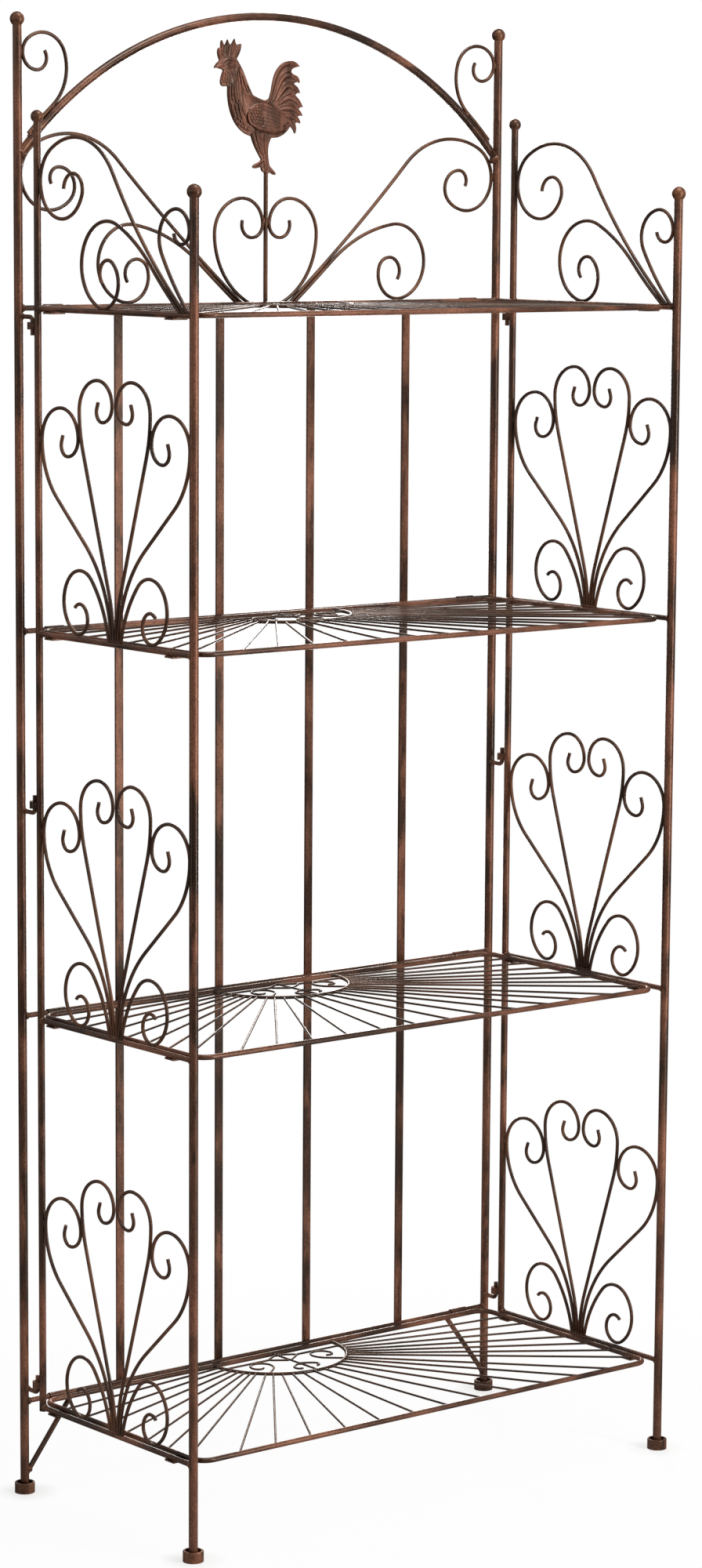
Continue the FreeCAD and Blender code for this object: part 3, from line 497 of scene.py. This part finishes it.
slats_x, slat_half, slat_seam = (66, 209), 5, 160.4
lugs_y, lug_end = (front_y + 40, rear_y - 22), 6.5
fan_y, fan_feet, fan_foot_z = -17, (-9.6, -5.6, -1.8, 1.8, 5.6, 9.6), rail_radius + 0.3
fan_touch_z, fan_touch_gap = 214.5, 0.1
top_feet_y, top_touch_z = (-150.6, -143.6, -136.4), 1481.6
eyes_z, eye_seam = (1325.5, 796.5, 131.5), 2.6
arms_z, arm_y = (1335, 787, 122), 154.6
arch_end_x, arch_end_z, corner_touch_z = 341.4, 1512.4, 1620.9
arch_touches = ((329.5, 1533), (298.2, 1562.4))
scroll_touch = (341.6, 161.6, 1489.1)
scroll_feet_x, scroll_foot_y, scroll_foot_z = (20.2, 33.2, 39.9), 161.2, 1345
heart_touch = (2.6, 162.8, 1437.5)
brace_z, brace_x = 27.5, 281.5
touch = (1.7, 1.7, 4.2)
for side, way in zip(sides, (-1, 1)):
    panel = f"{side}_panel"
    plane = way * panel_x
    collar_x = way * (back_x - upright_radius + sunk)

    # Rails on the uprights, lugs under the side rails, flat bars on the rear rails
    for height in heights.values():
        weld("back_panel", collar, (collar_x, rail_y, height), (3, 3, 3), (-way, 0, 0))
        weld(panel, collar, (plane, rear_y - rear_radius + sunk, height), (3, 3, 2.6), (0, -1, 0))
        weld(panel, collar, (plane, front_y + upright_radius - sunk, height), (3, 3, 2.8), (0, 1, 0))
        for lug_y in lugs_y:
            for end in (-lug_end, lug_end):
                weld(panel, bead, (plane, lug_y + end, height - rail_radius), (2.2, 2.6, 1.6))
        for slat_x in slats_x:
            for edge in (-slat_half, slat_half):
                weld("back_panel", bead, (way * slat_x + edge, slat_seam, height), (1.5, 1.5, 2.3))

    # Fans on their rails and, where the outer wires touch, on the uprights
    for level in levels[1:]:
        for foot in fan_feet:
            weld(panel, bead, (plane, fan_y + foot, heights[level] + fan_foot_z), (3, 2.5, 1.7))
        for touch_y in (front_y + upright_radius + fan_touch_gap, rear_y - rear_radius - fan_touch_gap):
            weld(panel, bead, (plane, touch_y, heights[level] + fan_touch_z), touch)

    # Scrolls above the top rail, and hinge eyes on the rear upright
    for foot in top_feet_y:
        weld(panel, bead, (plane, foot, heights[1] + rail_radius + sunk), (3, 3, 1.7))
    weld(panel, bead, (plane, rear_y - rear_radius, top_touch_z), (1.7, 1.7, 4.4))
    for eye in eyes_z:
        for beside in (-eye_seam, eye_seam):
            weld(panel, bead, (plane + beside, rear_y + rear_radius, eye), (1.3, 1.7, 3.6))

    # Hinge pins, arch and scrolls on the back uprights, scroll feet on the top rail, braces at the feet
    for arm in arms_z:
        weld("back_panel", collar, (plane, arm_y, arm), (2.5, 2.5, 2.4), (0, -1, 0))
    weld("back_panel", collar, (way * arch_end_x, back_y, arch_end_z), (4.4, 4.4, 3.4),
         (-way * 0.65, 0, 0.76))
    weld("back_panel", bead, (way * scroll_touch[0], *scroll_touch[1:]), (1.8, 1.8, 4.6))
    weld("back_panel", bead, (way * (back_x - upright_radius), back_y, corner_touch_z), touch)
    for across, height in arch_touches:
        weld("back_panel", bead, (way * across, back_y, height), (1.7, 2, 4.4), (-way * 0.7, 0, 0.71))
    for foot in scroll_feet_x:
        weld("back_panel", bead, (way * foot, scroll_foot_y, scroll_foot_z), (2.8, 2, 2.4))
    weld("back_panel", bead, (way * heart_touch[0], *heart_touch[1:]), (1.6, 2, 4.6))
    weld("back_panel", collar, (collar_x, rail_y, brace_z), (3, 3, 3), (-way * 0.61, 0, 0.79))
    weld("back_panel", bead, (way * brace_x, rail_y, heights[4] - rail_radius), (4.2, 2.6, 1.6))

# The post on the top rail, and the rooster on the post
post_foot, perch = (0, 161, 1344.5), (0, 163, 1493.4)
weld("back_panel", bead, post_foot, (2.6, 2, 2.4))
weld("back_panel", bead, perch, (3.4, 3, 2))

# The spokes end on the inner side of the shelf's rod and on its half ring, the vine on the ring and on itself
side_rod, front_rod, rod_inside = box_half("shelf_frame_1")[0] - rail_radius, -155, 3.2
rearmost, side_step, side_spokes = 101.5, 38.583, 7
leftmost, front_step, front_spokes = -278, 50.545, 12
ring_middle, ring_outside = 142.5, 90.4
clip_x, clip_y, clip_rise, clip_half = 301, 142.8, 2.4, 10
vine_joints = ((86.3, 139.4), (-86.3, 139.4), (0, 139.3), (0, 56.6), (83.8, 122.6), (-83.8, 122.6),
               (54, 75.9), (-54, 75.9), (1.4, 133.5), (-1.4, 133.5), (1.4, 88.5), (-1.4, 88.5))
spokes = [(way * side_rod, rearmost - side_step * number, -way * rod_inside, 0)
          for way in (-1, 1) for number in range(side_spokes)]
spokes += [(leftmost + front_step * number, front_rod, 0, rod_inside) for number in range(front_spokes)]
for level, height in heights.items():
    body = f"shelf_{level}"
    lay = box_middle(f"shelf_frame_{level}")[2]
    for across, back, inwards_x, inwards_y in spokes:
        line = Vector((across, back - ring_middle)).normalized()
        weld(body, bead, (line.x * ring_outside, ring_middle + line.y * ring_outside, lay), (1.9, 1.9, 1.5))
        weld(body, bead, (across + inwards_x, back + inwards_y, lay), (1.9, 1.9, 1.5))
    for across, back in vine_joints:
        weld(body, bead, (across, back, lay), (2, 2, 1.6))
    for way in (-1, 1):
        for end in (-clip_half, clip_half):
            weld(body, bead, (way * clip_x + end, clip_y, height + clip_rise), (2.6, 1.6, 1.3))

for body, laid in runs.items():
    select_only(*laid[1:], laid[0])
    bpy.ops.object.join()
    seam = bpy.context.object
    seam.name = f"welds_{body}"
    seam.data.materials.clear()
    seam.data.materials.append(spoke_paint if body.startswith("shelf") else tube_paint)
    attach(seam, body)
for pattern in (collar, bead):
    bpy.data.objects.remove(pattern)

# Floor: white paper, which the camera sees as white. Near the rack a little of its lit colour is mixed in, so
# the real soft shadow under the rack shows faintly, and round each foot more of it, which paints a darker
# shadow there over the real one.
foot_place = (0.3425, 0.158, 0)
bpy.ops.object.select_all(action="DESELECT")
bpy.ops.mesh.primitive_plane_add(size=40, location=(0, 0, 0))
floor = bpy.context.object
floor.name = "floor"
paper = bpy.data.materials.new("white_paper_floor")
paper.use_nodes = True
tree = paper.node_tree
tree.nodes.clear()
rays = add(tree, "ShaderNodeLightPath", {}, {})
matt = add(tree, "ShaderNodeBsdfDiffuse", {}, {"Color": linear("fbfaf8")})
white = add(tree, "ShaderNodeEmission", {}, {"Color": (1, 1, 1, 1), "Strength": 1})
ground = add(tree, "ShaderNodeTexCoord", {}, {}).outputs["Object"]
away = add(tree, "ShaderNodeVectorMath", {"operation": "LENGTH"}, {0: ground})
shade = add(tree, "ShaderNodeMapRange", {"interpolation_type": "SMOOTHSTEP"},
            {"Value": away.outputs["Value"], "From Min": 0.4, "From Max": 1.3, "To Min": 0.95, "To Max": 1})
folded = add(tree, "ShaderNodeVectorMath", {"operation": "ABSOLUTE"}, {0: ground})
from_foot = add(tree, "ShaderNodeVectorMath", {"operation": "DISTANCE"},
                {0: folded.outputs["Vector"], 1: foot_place})
# Painted shadow round each foot: less white is mixed in there, so the floor is greyer whether it is shaded or
# not
painted_foot_shadow = add(tree, "ShaderNodeMapRange", {"interpolation_type": "SMOOTHSTEP"},
              {"Value": from_foot.outputs["Value"], "From Min": 0.008, "From Max": 0.05,
               "To Min": 0.7, "To Max": 1})
veil = add(tree, "ShaderNodeMath", {"operation": "MINIMUM"},
           {0: shade.outputs["Result"], 1: painted_foot_shadow.outputs["Result"]})
seen = add(tree, "ShaderNodeMath", {"operation": "MULTIPLY"},
           {0: rays.outputs["Is Camera Ray"], 1: veil.outputs[0]})
sheet = add(tree, "ShaderNodeMixShader", {}, {0: seen.outputs[0], 1: matt.outputs[0], 2: white.outputs[0]})
add(tree, "ShaderNodeOutputMaterial", {}, {"Surface": sheet.outputs[0]})
floor.data.materials.append(paper)

# Light: a white room that is bright in reflections and dim as light, tall soft boxes that draw a bright line
# down each tube, and a square one overhead.
room_light = 0.09
room = bpy.data.worlds.new("white_room")
room.use_nodes = True
tree = room.node_tree
tree.nodes.clear()
rays = add(tree, "ShaderNodeLightPath", {}, {})
shown = add(tree, "ShaderNodeMath", {"operation": "MAXIMUM"},
            {0: rays.outputs["Is Camera Ray"], 1: rays.outputs["Is Glossy Ray"]})
shown = add(tree, "ShaderNodeMath", {"operation": "MAXIMUM"},
            {0: shown.outputs[0], 1: rays.outputs["Is Transmission Ray"]})
level_of_light = add(tree, "ShaderNodeMapRange", {},
                     {"Value": shown.outputs[0], "To Min": room_light, "To Max": 1})
air = add(tree, "ShaderNodeBackground", {},
          {"Color": (1, 1, 1, 1), "Strength": level_of_light.outputs["Result"]})
add(tree, "ShaderNodeOutputWorld", {}, {"Surface": air.outputs[0]})
bpy.context.scene.world = room

tall, square = (0.25, 2.6), (1.2, 1.2)
rack_middle = Vector((0, 0, 1.1))
for name, watts, size, where in (("right_soft_box", 60, tall, (0.93, -2.43, 1.25)),
                                 ("left_soft_box", 7, tall, (-2.57, 0.41, 1.25)),
                                 ("back_soft_box", 44, tall, (1.65, 2.05, 1.3)),
                                 ("top_soft_box", 42, square, (0.2, -0.5, 3.4))):
    lamp = bpy.data.objects.new(name, bpy.data.lights.new(name, "AREA"))
    bpy.context.scene.collection.objects.link(lamp)
    lamp.data.energy = watts
    lamp.data.shape = "RECTANGLE"
    lamp.data.size, lamp.data.size_y = size
    lamp.location = where
    lamp.rotation_euler = (rack_middle - lamp.location).to_track_quat("-Z", "Y").to_euler()
